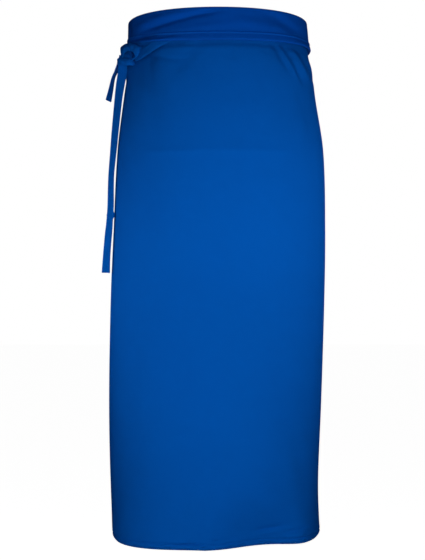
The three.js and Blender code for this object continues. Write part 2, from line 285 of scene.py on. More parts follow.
def on_cloth(across, along, inside):
    """A point on the cloth. across runs from the middle of the front, along from the hem up
    over the top fold and down the flap, inside from the cloth's middle to its wrong side,
    which is the side that shows on the flap."""
    across, along, inside = np.broadcast_arrays(across, along, inside)
    turn = 2 * math.pi * across
    # the skirt
    z = np.minimum(along, FOLD_START) - WORN_LENGTH
    angle = turn / girth_at(-z)
    plain = on_form(angle, z, 0.0)
    lift = panel_relief(plain[..., 0], plain[..., 1], plain[..., 2])
    skirt = on_form(angle, z, lift - inside)
    # the fold
    angle = turn / girth_at(0.0)
    bend = np.clip((along - FOLD_START) / FOLD_RADIUS, 0, math.pi)
    radius = FOLD_RADIUS + inside
    fold = on_form(angle, FOLD_Z + radius * np.sin(bend), FOLD_RADIUS - radius * np.cos(bend))
    # the flap
    share = np.clip((along - FOLD_END) / (CLOTH_END - FOLD_END), 0, None)
    z = FOLD_Z - share * (flap_reach(turn / girth_at(FLAP_LENGTH / 2)) + FOLD_Z)
    plain = on_form(angle, z, FLAP_GAP)
    lift = flap_relief(plain[..., 0], plain[..., 1], plain[..., 2]) * smooth(0, 0.15, share)
    flap = on_form(angle, z, FLAP_GAP + inside + lift)
    where = [along <= FOLD_START, along < FOLD_END]
    return np.select([w[..., None] for w in where], [skirt, fold], flap)


# ---------------------------------------------------------------------------------------
# Mesh makers
# ---------------------------------------------------------------------------------------

def new_object(name, mesh):
    """An object in the scene that holds a mesh."""
    piece = bpy.data.objects.new(name, mesh)
    bpy.context.scene.collection.objects.link(piece)
    return piece


def mapped_piece(name, points, faces, uv):
    """A smooth piece from points and faces, with a map coordinate for each point."""
    mesh = bpy.data.meshes.new(name)
    mesh.from_pydata(points.tolist(), [], faces)
    corners = np.empty(len(mesh.loops), int)
    mesh.loops.foreach_get("vertex_index", corners)
    mesh.uv_layers.new(name="UVMap").uv.foreach_set("vector", uv[corners].ravel())
    mesh.shade_smooth()
    return new_object(name, mesh)


def grid_piece(name, points, u, v, thickness, inner_material=0):
    """A sheet through a grid of points, given its thickness by Solidify."""
    rows, columns = points.shape[:2]
    index = np.arange(rows * columns).reshape(rows, columns)
    quads = np.stack([index[:-1, :-1], index[:-1, 1:], index[1:, 1:], index[1:, :-1]], -1)
    uv = np.stack(np.broadcast_arrays(u, v), -1).reshape(-1, 2)
    piece = mapped_piece(name, points.reshape(-1, 3), quads.reshape(-1, 4).tolist(), uv)
    thick = piece.modifiers.new("cloth thickness", "SOLIDIFY")
    thick.thickness = thickness
    thick.offset = 0
    thick.material_offset = inner_material
    return piece


def rounded(around):
    """The outline of a pressed strip: flat faces and round edges, as (across, out) from -1 to 1."""
    turn = np.linspace(0, 2 * math.pi, around, endpoint=False)
    across = np.sign(np.cos(turn)) * np.abs(np.cos(turn)) ** 0.45
    out = np.sign(np.sin(turn)) * np.abs(np.sin(turn)) ** 0.75
    return np.stack([across, out], -1)


def tube_piece(name, loops, u, v):
    """A closed piece through a row of loops, with its ends closed by a fan."""
    count, around = loops.shape[:2]
    index = np.arange(count * around).reshape(count, around)
    after = np.roll(index, -1, axis=1)
    quads = np.stack([index[:-1], after[:-1], after[1:], index[1:]], -1).reshape(-1, 4)
    points = np.concatenate([loops.reshape(-1, 3), loops[[0, -1]].mean(1)])
    start, end = count * around, count * around + 1
    fans = [(start, index[0, (k + 1) % around], index[0, k]) for k in range(around)]
    fans += [(end, index[-1, k], index[-1, (k + 1) % around]) for k in range(around)]
    faces = quads.tolist() + [tuple(int(i) for i in fan) for fan in fans]
    uv = np.stack(np.broadcast_arrays(u, v), -1).reshape(-1, 2)
    piece = mapped_piece(name, points, faces, np.concatenate([uv, uv[[0, -1]]]))
    mesh = piece.data
    ends = np.empty(2 * len(mesh.edges), int)
    mesh.edges.foreach_get("vertices", ends)
    row = np.where(ends < count * around, ends // around, -1).reshape(-1, 2)
    rim = (row == 0).all(1) | (row == count - 1).all(1)
    mesh.attributes.new("sharp_edge", "BOOLEAN", "EDGE").data.foreach_set("value", rim)
    return piece


def spline(points, count):
    """A smooth curve through points, evenly stepped along its length."""
    p = np.asarray(points, float)
    padded = np.concatenate([2 * p[:1] - p[1:2], p, 2 * p[-1:] - p[-2:-1]])
    fine = []
    for i in range(len(p) - 1):
        a, b, c, d = padded[i:i + 4]
        t = np.linspace(0, 1, 40, endpoint=i == len(p) - 2)[:, None]
        fine.append(0.5 * (2 * b + (c - a) * t + (2 * a - 5 * b + 4 * c - d) * t * t
                           + (3 * b - a - 3 * c + d) * t ** 3))
    fine = np.concatenate(fine)
    steps = np.linalg.norm(np.diff(fine[:, :3], axis=0), axis=1)
    reached = np.concatenate([[0], np.cumsum(steps)])
    wanted = np.linspace(0, reached[-1], count)
    return np.stack([np.interp(wanted, reached, fine[:, k]) for k in range(p.shape[1])], -1)


def unit(v):
    """Directions made one long."""
    return v / np.maximum(np.linalg.norm(v, axis=-1, keepdims=True), 1e-12)


STRIP_SIDES = 40
BAND_SIDES, BAND_STEPS = 36, 72


def strip_piece(name, path, wide, width, thickness, relief):
    """A strip of tie along path, with wide the direction across it at each point."""
    path, wide = np.asarray(path, float), unit(np.asarray(wide, float))
    ahead = unit(np.gradient(path, axis=0))
    wide = unit(wide - (wide * ahead).sum(-1, keepdims=True) * ahead)
    out = np.cross(wide, ahead)
    width = np.broadcast_to(width, len(path))
    thickness = np.broadcast_to(thickness, len(path))
    shape = rounded(STRIP_SIDES)
    across = shape[None, :, 0] * width[:, None] / 2
    proud = shape[None, :, 1] * thickness[:, None] / 2
    length = np.concatenate([[0], np.cumsum(np.linalg.norm(np.diff(path, axis=0), axis=1))])
    proud = proud + relief(across, length[:, None])
    loops = (path[:, None] + across[..., None] * wide[:, None] + proud[..., None] * out[:, None])
    return tube_piece(name, loops[:, ::-1], across[:, ::-1], length[:, None] + 0 * across)


def band_between(name, edge_a, edge_b, crown, thickness, wrinkle):
    """A bent strip whose two edges follow two lines, crowned between them."""
    a, b = spline(edge_a, BAND_STEPS), spline(edge_b, BAND_STEPS)
    ahead = unit(np.gradient((a + b) / 2, axis=0))
    wide = b - a
    out = unit(np.cross(wide, ahead))
    shape = rounded(BAND_SIDES) / 2
    share = shape[:, 0] + 0.5
    width = np.linalg.norm(wide, axis=1)
    crown = np.broadcast_to(crown, BAND_STEPS)[:, None] * np.sin(np.clip(share, 0, 1) * math.pi)
    proud = crown + shape[:, 1] * thickness
    proud = proud + wrinkle(share[None], np.linspace(0, 1, BAND_STEPS)[:, None])
    loops = a[:, None] + share[None, :, None] * wide[:, None] + proud[..., None] * out[:, None]
    run = np.concatenate([[0], np.cumsum(np.linalg.norm(np.diff((a + b) / 2, axis=0), axis=1))])
    u = shape[None, :, 0] * width[:, None]
    return tube_piece(name, loops[:, ::-1], u[:, ::-1], run[:, None] + 0 * u)


# ---------------------------------------------------------------------------------------
# Materials
# ---------------------------------------------------------------------------------------

ROYAL_BLUE = (0.0005, 0.080, 0.390)
DEEP_BLUE = (0.0004, 0.062, 0.330)
# The wrong side's own deeper blue, which is also painted shade where the waist hem wears it
WRONG_SIDE_AND_HEM_SHADE_BLUE = (0.0004, 0.060, 0.370)
WRONG_SIDE_AND_HEM_SHADE_DEEP = (0.0003, 0.048, 0.320)
LABEL_WHITE = (0.80, 0.80, 0.77)
LABEL_GREY = (0.72, 0.72, 0.69)
BLUE_GLOSS = (0.02, 0.30, 1.0, 1)
WHITE_GLOSS = (1, 1, 1, 1)
BLUE_FUZZ = (0.003, 0.14, 0.85, 1)
THREAD_DEEP = (0.0006, 0.075, 0.330, 1)
THREAD_BLUE = (0.0010, 0.120, 0.470, 1)
THREAD_GLOSS = (0.15, 0.4, 1.0, 1)
TWILL_RIB, SATIN_RIB = 0.0011, 0.0006


def connect(tree, node, inputs):
    """Sets a node's inputs to numbers and colours, or links them from other nodes' outputs."""
    for key, value in inputs.items():
        if isinstance(value, bpy.types.NodeSocket):
            tree.links.new(value, node.inputs[key])
        else:
            node.inputs[key].default_value = value


def add_node(tree, kind, inputs=None, **settings):
    """A new node with its settings made and its inputs connected."""
    node = tree.nodes.new(kind)
    for name, value in settings.items():
        setattr(node, name, value)
    connect(tree, node, inputs or {})
    return node


def math_node(tree, operation, *values):
    """The output of a math node, whose inputs are numbers or other nodes' outputs."""
    return add_node(tree, "ShaderNodeMath", dict(enumerate(values)), operation=operation).outputs[0]


def noise_node(tree, place, scale, detail, roughness=0.5):
    """The value of a noise that reads a place."""
    return add_node(tree, "ShaderNodeTexNoise", {
        "Vector": place, "Scale": scale, "Detail": detail, "Roughness": roughness,
    }).outputs["Fac"]


def new_group(name, kind, inputs, outputs):
    """An empty node group with named sockets, and the outputs of its input node."""
    tree = bpy.data.node_groups.new(name, kind)
    for label, socket, value in inputs:
        made = tree.interface.new_socket(label, in_out="INPUT", socket_type="NodeSocket" + socket)
        if value is not None:
            made.default_value = value
    for label, socket in outputs:
        tree.interface.new_socket(label, in_out="OUTPUT", socket_type="NodeSocket" + socket)
    return tree, add_node(tree, "NodeGroupInput").outputs


def new_material(name):
    """A material, its node tree and its shader."""
    material = bpy.data.materials.new(name)
    material.use_nodes = True
    return material, material.node_tree, material.node_tree.nodes["Principled BSDF"]


def twill_group():
    """Diagonal twill ribs made of single threads, with slubs, from a map in metres."""
    tree, given = new_group(
        "Twill weave", "ShaderNodeTree",
        [("Map", "Vector", None), ("Rib", "Float", TWILL_RIB), ("Slub", "Float", 1.0)],
        [("Height", "Float"), ("Tone", "Float")])
    split = add_node(tree, "ShaderNodeSeparateXYZ", {0: given["Map"]})
    u, v = split.outputs[0], split.outputs[1]

    # ribs that lean up to the right, crossed by single threads
    lean = math_node(tree, "MULTIPLY", v, 0.72)
    rib = math_node(tree, "DIVIDE", math_node(tree, "SUBTRACT", u, lean), given["Rib"])
    rib = math_node(tree, "SINE", math_node(tree, "MULTIPLY", rib, 2 * math.pi))
    thread = math_node(tree, "DIVIDE", v, math_node(tree, "MULTIPLY", given["Rib"], 0.5))
    thread = math_node(tree, "SINE", math_node(tree, "MULTIPLY", thread, 2 * math.pi))
    height = math_node(tree, "MULTIPLY_ADD", rib, 0.5, math_node(tree, "MULTIPLY", thread, 0.35))

    # slubs: uneven threads, long across in the weft and long upright in the warp
    slubs = []
    for scale in ((60, 2400, 1), (2000, 45, 1)):
        stretch = add_node(tree, "ShaderNodeMapping", {"Vector": given["Map"], "Scale": scale})
        noise = noise_node(tree, stretch.outputs[0], 1.0, 3.0)
        slubs.append(math_node(tree, "SUBTRACT", noise, 0.5))
    slub = math_node(tree, "MULTIPLY", math_node(tree, "ADD", *slubs), given["Slub"])
    tone = math_node(tree, "MULTIPLY_ADD", height, 0.22, slub)
    add_node(tree, "NodeGroupOutput", {
        "Height": math_node(tree, "ADD", height, slub),
        "Tone": math_node(tree, "MULTIPLY_ADD", tone, 0.5, 0.5),
    })
    return tree


def handling_group():
    """Soft, broad unevenness of washed cloth: faint cloudiness and small pressed rumples."""
    tree, given = new_group("Handled cloth", "ShaderNodeTree", [("Place", "Vector", None)],
                            [("Cloud", "Float"), ("Rumple", "Float")])
    add_node(tree, "NodeGroupOutput", {
        "Cloud": noise_node(tree, given["Place"], 9.0, 4.0, 0.55),
        "Rumple": noise_node(tree, given["Place"], 38.0, 2.0, 0.55),
    })
    return tree


TWILL = twill_group()
HANDLED = handling_group()


def cloth_material(name, color, deep, rib, weave_depth, rumple_depth, sheen, gloss=BLUE_GLOSS):
    """Woven cloth: its tone from the weave, slightly cloudy, with a fine and a broad bump."""
    material, tree, shader = new_material(name)
    uv = add_node(tree, "ShaderNodeUVMap", uv_map="UVMap")
    place = add_node(tree, "ShaderNodeTexCoord")
    weave = add_node(tree, "ShaderNodeGroup", {"Map": uv.outputs[0], "Rib": rib}, node_tree=TWILL)
    handled = add_node(tree, "ShaderNodeGroup", {"Place": place.outputs["Object"]},
                       node_tree=HANDLED)
    cloud = math_node(tree, "MULTIPLY_ADD", handled.outputs["Cloud"], 0.5, 0.25)
    tone = math_node(tree, "MULTIPLY_ADD", weave.outputs["Tone"], 0.5, cloud)
    mix = add_node(tree, "ShaderNodeMix", {"A": (*deep, 1), "B": (*color, 1), "Factor": tone},
                   data_type="RGBA")
    fine = add_node(tree, "ShaderNodeBump", {
        "Strength": 0.55, "Distance": weave_depth, "Height": weave.outputs["Height"],
    })
    broad = add_node(tree, "ShaderNodeBump", {
        "Strength": 0.5, "Distance": rumple_depth, "Height": handled.outputs["Rumple"],
        "Normal": fine.outputs[0],
    })
    connect(tree, shader, {
        "Base Color": mix.outputs["Result"],
        "Roughness": math_node(tree, "MULTIPLY_ADD", handled.outputs["Cloud"], 0.14, 0.78),
        "IOR": 1.3,
        "Specular IOR Level": 0.06,
        "Specular Tint": gloss,
        "Sheen Weight": sheen,
        "Sheen Roughness": 0.45,
        "Sheen Tint": BLUE_FUZZ,
        "Normal": broad.outputs[0],
    })
    return material


def thread_material():
    """Two-ply sewing thread, its twist a fine slanting rib along each stitch."""
    material, tree, shader = new_material("Sewing thread")
    place = add_node(tree, "ShaderNodeTexCoord")
    twist = add_node(tree, "ShaderNodeTexWave", {"Vector": place.outputs["Object"], "Scale": 900.0},
                     wave_type="BANDS", bands_direction="DIAGONAL")
    mix = add_node(tree, "ShaderNodeMix", {
        "A": THREAD_DEEP, "B": THREAD_BLUE, "Factor": twist.outputs["Fac"],
    }, data_type="RGBA")
    bump = add_node(tree, "ShaderNodeBump", {"Distance": 0.00005, "Height": twist.outputs["Fac"]})
    connect(tree, shader, {
        "Base Color": mix.outputs["Result"],
        "Roughness": 0.5,
        "Specular IOR Level": 0.2,
        "Specular Tint": THREAD_GLOSS,
        "Normal": bump.outputs[0],
    })
    return material


APRON_TWILL = cloth_material("Royal blue twill", ROYAL_BLUE, DEEP_BLUE, rib=TWILL_RIB,
                             weave_depth=0.00022, rumple_depth=0.0016, sheen=0.12)
# The twill's wrong side, also put on the waist hem as painted shade, since that hem shows the cloth's
# right side
WRONG_SIDE_AND_HEM_SHADE = cloth_material("Twill wrong side, also painted hem shade", WRONG_SIDE_AND_HEM_SHADE_BLUE, WRONG_SIDE_AND_HEM_SHADE_DEEP, rib=TWILL_RIB,
                            weave_depth=0.00016, rumple_depth=0.0016, sheen=0.12)
TIE_TWILL = cloth_material("Tie twill", ROYAL_BLUE, DEEP_BLUE, rib=TWILL_RIB,
                           weave_depth=0.00022, rumple_depth=0.0010, sheen=0.05)
LABEL_SATIN = cloth_material("Label satin", LABEL_WHITE, LABEL_GREY, rib=SATIN_RIB,
                             weave_depth=0.00008, rumple_depth=0.0004, sheen=0.0,
                             gloss=WHITE_GLOSS)
THREAD_FINISH = thread_material()


def carry(piece, body):
    """A piece rides on one body; one given a joint, (body, next body, level, half reach), only has
    its place baked into its mesh.
    """
    if isinstance(body, str):
        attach(piece, body)
        return
    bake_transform(piece)


def finish_piece(piece, material, body, slot, *nodes):
    """A piece gets its material and its body, and the frame's nodes that it replaces are hidden; the
    slot is not used.
    """
    piece.data.materials.clear()
    piece.data.materials.append(material)
    carry(piece, body)
    if nodes:
        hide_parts(*nodes)
    return piece


# ---------------------------------------------------------------------------------------
# Camera, floor and light
# ---------------------------------------------------------------------------------------

EYE = Vector((-0.008, -1.56, -0.416))
LOOK_UP = math.radians(0.29)
LENS = 62.7


def stage_camera():
    """A camera level with the middle of the apron, looking very slightly up."""
    data = bpy.data.cameras.new("camera")
    data.lens = LENS
    data.sensor_width = 36
    camera = bpy.data.objects.new("camera", data)
    camera.location = EYE
    camera.rotation_euler = (math.pi / 2 + LOOK_UP, 0, 0)
    bpy.context.scene.collection.objects.link(camera)
    bpy.context.scene.camera = camera


COOL = (0.80, 0.76, 1.0)
WHITE = (1, 1, 1)
FLOOR_REACH, FLOOR_Z = 9.0, -1.06


def area_light(name, place, target, size, power, spread, color=WHITE):
    """An oblong lamp turned towards a target, its beam's spread in degrees."""
    data = bpy.data.lights.new(name, "AREA")
    data.color = color
    data.shape = "RECTANGLE"
    data.size, data.size_y = size
    data.energy = power
    data.spread = math.radians(spread)
    light = bpy.data.objects.new(name, data)
    light.location = place
    light.visible_camera = False
    light.rotation_euler = (Vector(target) - Vector(place)).to_track_quat("-Z", "Y").to_euler()
    bpy.context.scene.collection.objects.link(light)


def white_for_camera(tree, seen, lit):
    """A strength that is seen at one level and lights at another."""
    path = add_node(tree, "ShaderNodeLightPath")
    return math_node(tree, "MULTIPLY_ADD", path.outputs["Is Camera Ray"], seen - lit, lit)


def stage_floor():
    """A wide pale floor that reads as white and hardly lights the cloth."""
    mesh = bpy.data.meshes.new("floor")
    corners = [(-1, -1), (1, -1), (1, 1), (-1, 1)]
    points = [(FLOOR_REACH * x, FLOOR_REACH * y, FLOOR_Z) for x, y in corners]
    mesh.from_pydata(points, [], [(0, 1, 2, 3)])
    floor = new_object("floor", mesh)
    material, tree, shader = new_material("pale floor")
    connect(tree, shader, {
        "Base Color": (0.8, 0.8, 0.8, 1),
        "Roughness": 0.9,
        "Emission Color": (1, 1, 1, 1),
        "Emission Strength": white_for_camera(tree, 0.97, 0.02),
    })
    mesh.materials.append(material)


def stage_light():
    """A white studio: broad light from the front, dim lamps from the sides, one behind."""
    world = bpy.data.worlds.new("studio")
    world.use_nodes = True
    tree = world.node_tree
    connect(tree, tree.nodes["Background"], {
        "Color": (1, 1, 1, 1),
        "Strength": white_for_camera(tree, 1.0, 0.02),
    })
    bpy.context.scene.world = world
    bpy.context.scene.view_settings.view_transform = "Standard"
    # name, place, target, size, power, spread
    area_light("front", (-0.04, -1.0, -0.38), (-0.02, 0, -0.38), (0.5, 0.3), 0.86, 90)
    area_light("front_low", (0.0, -1.0, -0.74), (0.0, 0, -0.74), (0.5, 0.3), 1.10, 90)
    area_light("front_wide", (-0.05, -1.8, -0.42), (0, 0, -0.42), (1.8, 1.2), 0.84, 180, COOL)
    area_light("front_high", (0.10, -1.0, -0.04), (0.02, 0, -0.02), (0.4, 0.2), 0.072, 40)
    area_light("under_flap", (0.04, -0.55, -0.78), (0.02, -0.10, -0.02), (0.4, 0.1), 0.22, 46)
    area_light("left", (-1.0, -0.55, -0.40), (0, 0, -0.46), (0.3, 0.3), 0.145, 40)
    area_light("left_rim", (-1.1, -0.10, -0.33), (0, 0, -0.36), (0.3, 0.3), 0.18, 34)
    area_light("right", (1.0, -0.55, -0.34), (0, 0, -0.36), (0.3, 0.3), 0.33, 46)
    area_light("right_rim", (1.1, -0.10, -0.25), (0, 0, -0.28), (0.3, 0.3), 0.13, 46)
    area_light("back", (0.25, 1.2, -0.30), (0, 0, -0.38), (0.8, 0.5), 2.4, 110)


stage_camera()
stage_floor()
stage_light()

# ---------------------------------------------------------------------------------------
# The cloth and its turned hems
# ---------------------------------------------------------------------------------------

def row_steps(*stretches):
    """Places along the cloth: each stretch is (end, step), from the last one's end."""
    places, start = [0.0], 0.0
    for end, step in stretches:
        count = max(1, round((end - start) / step))
        places += list(np.linspace(start, end, count + 1)[1:])
        start = end
    return np.array(places)


def cloth_panel():
    """The cloth in one sheet, from the bottom edge up, over the top fold and down the flap."""
    across = np.linspace(-EDGE, EDGE, 185)
    along = row_steps((0.012, 0.0012), (0.03, 0.002), (0.10, 0.004), (0.56, 0.0058),
                      (0.70, 0.0038), (FOLD_START, 0.0024), (FOLD_END, 0.0009),
                      (CLOTH_END, 0.0018))
    points = on_cloth(across[None, :], along[:, None], 0.0)
    piece = grid_piece("apron_cloth", points, across[None, :], along[:, None], CLOTH, 1)
    finish_piece(piece, APRON_TWILL, "apron", "twill", "cloth_panel")
    piece.data.materials.append(WRONG_SIDE_AND_HEM_SHADE)
    return piece


def hem_outline(hem, fold, inset):
    """The section of a turned hem, as (across, out) pairs from its free folded edge at -hem/2:
    a rounded fold, the groove that the stitches pull down, and a roll that is fullest low."""
    places = [0, 0.12, 0.35, 0.62, 0.85, 1.05, 1.30, 1.65, 2.1]
    heights = [0.25, 0.95, 1.25, 1.15, 0.70, 0.45, 0.50, 0.72, 0.95]
    rest = np.linspace(2.1 * inset, hem, 10)[1:]
    share = (rest - 2.1 * inset) / (hem - 2.1 * inset)
    roll = 0.95 + 0.85 * np.sin(np.clip(share / 0.72, 0, 1) * math.pi / 2)
    roll = roll * np.sqrt(1 - np.clip((share - 0.66) / 0.34, 0, 0.985) ** 2)
    top = np.concatenate([np.array(places) * inset, rest])
    out = fold * np.concatenate([heights, roll])
    under = np.linspace(hem, 0, 6)[1:-1]
    across = np.concatenate([top, under]) - hem / 2
    return np.stack([across, np.concatenate([out, 0 * under])], -1)


# Which way each hem's raw edge lies from its free fold: along the cloth for the level hems,
# across it for the side hems
HEM_WAY = {"waist_hem": 1, "bottom_hem": -1, "left_side_hem": -1, "right_side_hem": 1}
HEM_CLEAR = 0.0006
HEM_STEP = 0.0030
WAIST_HEM_MIDDLE = CLOTH_END - WAIST_HEM / 2
WAIST_INSET = 0.0027
WAIST_ROW = CLOTH_END - WAIST_HEM + WAIST_INSET
BOTTOM_ROW = BOTTOM_HEM - STITCH_INSET
SIDE_ROW = EDGE - SIDE_HEM + STITCH_INSET
PUCKERS = [
    # height, spacing
    (0.00016, 0.0066),
    (0.00012, 0.019),
]


def folded_edge(node, start, end, hem, inset, material):
    """A turned hem lying on the wrong side of the cloth, slightly puckered along its stitches.
    start and end are (across, along) of the middle of the hem."""
    length = math.hypot(end[0] - start[0], end[1] - start[1])
    t = np.linspace(0, 1, round(length / HEM_STEP))[:, None]
    across = start[0] + (end[0] - start[0]) * t
    along = start[1] + (end[1] - start[1]) * t
    shape = hem_outline(hem, HEM_FOLD, inset)[None]
    run = t * length
    pucker = sum(height * np.sin(run * 2 * math.pi / spacing) for height, spacing in PUCKERS)
    out = CLOTH / 2 + shape[..., 1] + pucker * (shape[..., 1] > 0)
    section, level = HEM_WAY[node] * shape[..., 0], 0 * shape[..., 0]
    if "side" in node:
        u, v, order = across + section, along + level, -HEM_WAY[node]
    else:
        u, v, order = across + level, along + section, HEM_WAY[node]
    loops = on_cloth(u, v, out)
    piece = tube_piece(node + "_fold", loops[:, ::order], u[:, ::order], v[:, ::order])
    return finish_piece(piece, material, "apron", "twill", node)


LABEL_LOW, LABEL_HIGH, LABEL_THICK = 0.500, 0.540, 0.00022
LABEL_TUCK, LABEL_WIDTH, LABEL_CURL = 0.006, 0.020, 0.0016


def care_label():
    """A blank satin label, its end caught under the left side hem."""
    fold = -EDGE + SIDE_HEM
    across = np.linspace(fold - LABEL_TUCK, fold + LABEL_WIDTH, 22)
    along = np.linspace(LABEL_LOW, LABEL_HIGH, 30)
    free = smooth(fold, across[-1], across)[None, :]
    up = (along[:, None] - LABEL_LOW) / (LABEL_HIGH - LABEL_LOW)
    curl = LABEL_CURL * free ** 2 * (1 + 0.5 * np.cos(up * math.pi))
    inside = CLOTH / 2 + HEM_FOLD + HEM_CLEAR + curl
    points = on_cloth(across[None, :], along[:, None], inside)
    piece = grid_piece("blank_care_label", points, across[None, :], along[:, None], LABEL_THICK)
    return finish_piece(piece, LABEL_SATIN, "apron", "label", "care_label")


# ---------------------------------------------------------------------------------------
# Stitches
# ---------------------------------------------------------------------------------------

THREAD = 0.00042
STITCH = 0.0026
PITCH = 0.0032
SLANT, SLANT_SEED = 0.06, 4
ROW_POINTS = 400
END_GAP = 0.001


def stitch_row_tree():
    """Rounded stitches end to end along a seam line, each pulled into the cloth at its ends."""
    tree, given = new_group("Stitch row", "GeometryNodeTree", [
        ("Seam", "Geometry", None),
        ("Stitch length", "Float", STITCH),
        ("Pitch", "Float", PITCH),
        ("Thread", "Float", THREAD),
        ("Slant", "Float", SLANT),
        ("Seed", "Int", SLANT_SEED),
        ("Material", "Material", None),
    ], [("Stitches", "Geometry")])
    curve = add_node(tree, "GeometryNodeMeshToCurve", {0: given["Seam"]})
    steps = add_node(tree, "GeometryNodeResampleCurve", {
        "Curve": curve.outputs[0], "Length": given["Pitch"],
    }, mode="LENGTH")

    # one stitch, thick in the middle and thin where it dives in
    bead = add_node(tree, "GeometryNodeMeshUVSphere", {"Segments": 6, "Rings": 5, "Radius": 0.5})
    size = add_node(tree, "ShaderNodeCombineXYZ", {
        0: given["Thread"], 1: given["Thread"], 2: given["Stitch length"],
    })
    stitch = add_node(tree, "GeometryNodeTransform", {
        "Geometry": bead.outputs["Mesh"], "Scale": size.outputs[0],
    })
    stitch = add_node(tree, "GeometryNodeSetShadeSmooth", {0: stitch.outputs[0]})

    # each lies along the seam, tilted a little at random
    tangent = add_node(tree, "GeometryNodeInputTangent")
    along = add_node(tree, "FunctionNodeAlignRotationToVector", {"Vector": tangent.outputs[0]},
                     axis="Z")
    slant = add_node(tree, "FunctionNodeRandomValue", {
        2: math_node(tree, "MULTIPLY", given["Slant"], -1.0), 3: given["Slant"],
        "Seed": given["Seed"],
    })
    tilt = add_node(tree, "ShaderNodeCombineXYZ", {0: slant.outputs[1]})
    tilt = add_node(tree, "FunctionNodeEulerToRotation", {0: tilt.outputs[0]})
    turned = add_node(tree, "FunctionNodeRotateRotation", {
        "Rotation": along.outputs[0], "Rotate By": tilt.outputs[0],
    }, rotation_space="LOCAL")

    row = add_node(tree, "GeometryNodeInstanceOnPoints", {
        "Points": steps.outputs[0], "Instance": stitch.outputs[0], "Rotation": turned.outputs[0],
    })
    row = add_node(tree, "GeometryNodeRealizeInstances", {0: row.outputs[0]})
    row = add_node(tree, "GeometryNodeSetMaterial", {
        "Geometry": row.outputs[0], "Material": given["Material"],
    })
    add_node(tree, "NodeGroupOutput", {"Stitches": row.outputs[0]})
    return tree


STITCH_ROW = stitch_row_tree()


def seam_mesh(name, lines):
    """Lines of edges for stitches to follow."""
    mesh = bpy.data.meshes.new(name)
    points, edges = [], []
    for line in lines:
        first = len(points)
        points += np.asarray(line).tolist()
        edges += [(first + i, first + i + 1) for i in range(len(line) - 1)]
    mesh.from_pydata(points, edges, [])
    return mesh


def stitched(name, lines, body, nodes=(), stitch=STITCH, pitch=PITCH):
    """Rows of stitches along lines, made a plain mesh that a body carries, or that is baked in place
    where a joint is given.
    """
    holder = new_object(name + "_seam", seam_mesh(name + "_seam", lines))
    maker = holder.modifiers.new("stitches", "NODES")
    maker.node_group = STITCH_ROW
    sizes = {"Stitch length": stitch, "Pitch": pitch, "Thread": THREAD, "Material": THREAD_FINISH}
    for item in STITCH_ROW.interface.items_tree:
        if item.in_out == "INPUT" and item.name in sizes:
            maker[item.identifier] = sizes[item.name]
    seen = bpy.context.evaluated_depsgraph_get()
    mesh = bpy.data.meshes.new_from_object(holder.evaluated_get(seen))
    mesh.name = name
    bpy.data.objects.remove(holder)
    piece = new_object(name, mesh)
    return finish_piece(piece, THREAD_FINISH, body, "thread", *nodes)


def across_row(along, inside, reach):
    """A seam line that runs level, from -reach to reach."""
    across = np.linspace(-reach, reach, ROW_POINTS)
    return on_cloth(across, np.full(ROW_POINTS, along), inside)


def upright_row(across, inside, start, end):
    """A seam line that runs up the cloth and over its fold."""
    along = np.linspace(start, end, ROW_POINTS)
    return on_cloth(np.full(ROW_POINTS, across), along, inside)


def apron_stitches():
    """Each row shows on both faces of the cloth: the top thread outside, the lower inside."""
    right_side = -CLOTH / 2 - THREAD * 0.10
    wrong_side = CLOTH / 2 + HEM_FOLD * 0.72
    sides = (wrong_side, right_side)
    waist, bottom = EDGE - SIDE_HEM - END_GAP, EDGE - END_GAP
    stitched("waist_hem_stitches", [across_row(WAIST_ROW, side, waist) for side in sides],
             "apron", ["waist_hem_thread"])
    stitched("bottom_hem_stitches", [across_row(BOTTOM_ROW, side, bottom) for side in sides],
             "apron", ["bottom_hem_thread"])
    for way, name in ((-1, "left"), (1, "right")):
        rows = [upright_row(way * SIDE_ROW, side, BOTTOM_HEM + END_GAP, CLOTH_END - END_GAP)
                for side in sides]
        stitched(f"{name}_side_stitches", rows, "apron", [f"{name}_side_thread"])


def hemmed_apron():
    """The cloth with its four hems and its label, which are one sheet, and its stitches."""
    cloth = cloth_panel()
    waist, low = EDGE - SIDE_HEM - HEM_CLEAR, BOTTOM_HEM / 2
    hems = [
        # The waist hem shows the cloth's right side but wears the darker wrong-side twill: painted
        # shade for the shaded strip along the flap's lower edge
        folded_edge("waist_hem", (-waist, WAIST_HEM_MIDDLE), (waist, WAIST_HEM_MIDDLE),
                    WAIST_HEM, WAIST_INSET, WRONG_SIDE_AND_HEM_SHADE),
        folded_edge("bottom_hem", (-EDGE, low), (EDGE, low), BOTTOM_HEM, STITCH_INSET, APRON_TWILL),
    ]
    for way, name in ((-1, "left"), (1, "right")):
        middle = way * (EDGE - SIDE_HEM / 2)
        hems.append(folded_edge(f"{name}_side_hem", (middle, BOTTOM_HEM + HEM_CLEAR),
                                (middle, CLOTH_END), SIDE_HEM, STITCH_INSET, APRON_TWILL))
    care_label()
    apron_stitches()


hemmed_apron()

# ---------------------------------------------------------------------------------------
# Ties
# ---------------------------------------------------------------------------------------

EDGE_ANGLE = 2 * math.pi * EDGE / girth_at(0.0)
SEWN_LENGTH = 0.012
SEWN_ANGLE = EDGE_ANGLE - 2 * math.pi * SEWN_LENGTH / girth_at(0.0)
TIE_ROWS = 0.0014
TIE_STEPS = 150
FAR_TIE_Z, NEAR_TIE_Z = -0.037, -0.044
FAR_TIE_END, NEAR_TIE_END = math.radians(-61), math.radians(291)


def tie_relief(across, length):
    """Long soft ripples in a strip of tie, and the small pull of its edge stitching."""
    ripple = 0.00018 * np.sin(across / TIE_WIDTH * 5.0 + 2.2 * np.sin(length / 0.043))
    return ripple - 0.00012 * bell(np.abs(across), TIE_WIDTH / 2 - TIE_ROWS, 0.0006)


